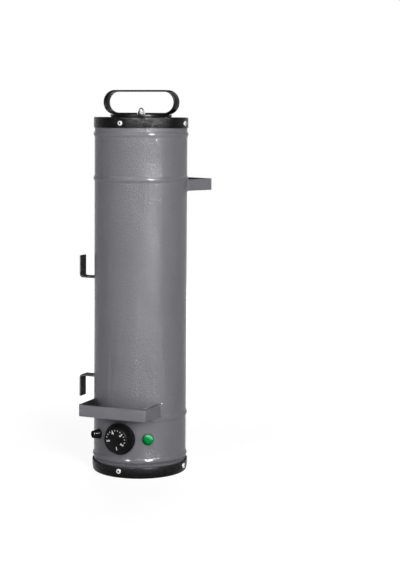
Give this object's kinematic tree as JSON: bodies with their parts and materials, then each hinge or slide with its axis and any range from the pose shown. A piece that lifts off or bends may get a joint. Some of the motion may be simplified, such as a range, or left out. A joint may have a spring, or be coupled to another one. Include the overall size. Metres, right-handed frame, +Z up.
{
  "type": "welding electrode oven",
  "caption": "Portable upright drum oven for welding electrodes, with a lift-out rod and cup under a handled lid, a thermostat dial, a pilot lamp, cable hooks and strap brackets.",
  "frame": {"origin": "centre of the base cap's underside, on the oven's axis", "axes": "+Z up along the oven's axis, -Y out through the thermostat dial, +X to the right seen from the dial side"},
  "size_m": [0.2139, 0.2381, 0.6582],
  "materials": {
    "shell_grey": "satin hammered powder coat",
    "cap_black": "hammered black powder coat",
    "lid_black": "satin black paint",
    "screw_steel": "bright zinc plate",
    "rod_steel": "heat tarnished",
    "cup_metal": "brushed",
    "chamber_steel": "satin",
    "mineral_wool": "matt fibre",
    "heater_mica": "matt",
    "knob_black": "moulded, satin",
    "lamp_green": "clear, faceted",
    "moulding_white": "moulded",
    "gland_black": "moulded",
    "rubber_black": "matt",
    "lead_sleeve": "woven glass sleeve",
    "brass_plain": "satin",
    "copper_tube": "bright"
  },
  "bodies": {
    "oven": {"outer_shell": "shell_grey", "base_cap": "cap_black", "top_collar": "cap_black", "base_cap_screws": "screw_steel", "collar_screws": "screw_steel", "inner_chamber": "chamber_steel", "chamber_floor": "chamber_steel", "bay_plate": "chamber_steel", "insulation_board": "mineral_wool", "insulation_jacket": "mineral_wool", "lower_heater_band": "heater_mica", "upper_heater_band": "heater_mica", "band_clamp_screws": "screw_steel", "wire_grommet": "rubber_black", "tube_grommet": "rubber_black", "sensing_bulb": "copper_tube", "capillary_tube": "copper_tube", "thermostat_body": "moulding_white", "thermostat_screws": "screw_steel", "dial_bezel": "knob_black", "lamp_lens": "lamp_green", "lamp_body": "moulding_white", "lamp_tabs": "brass_plain", "lamp_nut": "moulding_white", "cable_gland": "gland_black", "gland_locknut": "gland_black", "terminal_block": "moulding_white", "terminal_block_screws": "screw_steel", "earth_stud": "brass_plain", "heater_leads": "lead_sleeve", "bay_leads": "lead_sleeve", "dial_guard": "shell_grey", "carry_bracket": "shell_grey", "upper_cable_hook": "shell_grey", "lower_cable_hook": "shell_grey"},
    "lifter": {"lid_cover": "lid_black", "lid_pan": "lid_black", "lid_insulation": "mineral_wool", "lid_handle": "lid_black", "acorn_nut": "screw_steel", "lid_washer": "rod_steel", "lid_nut": "rod_steel", "lifter_rod": "rod_steel", "lifter_cup": "cup_metal", "cup_washer": "rod_steel", "cup_nut": "rod_steel"},
    "dial": {"dial_knob": "knob_black", "dial_spindle": "brass_plain", "knob_grub_screw": "screw_steel"}
  },
  "joints": [
    {"name": "lid_lift", "type": "slide", "parent": "oven", "child": "lifter", "axis": [0, 0, 1], "range_m": [0, 0.49]},
    {"name": "dial_turn", "type": "hinge", "parent": "oven", "child": "dial", "pos_m": [0, -0.0834, 0.0675], "axis": [0, 1, 0], "range_deg": [0, 270]}
  ]
}
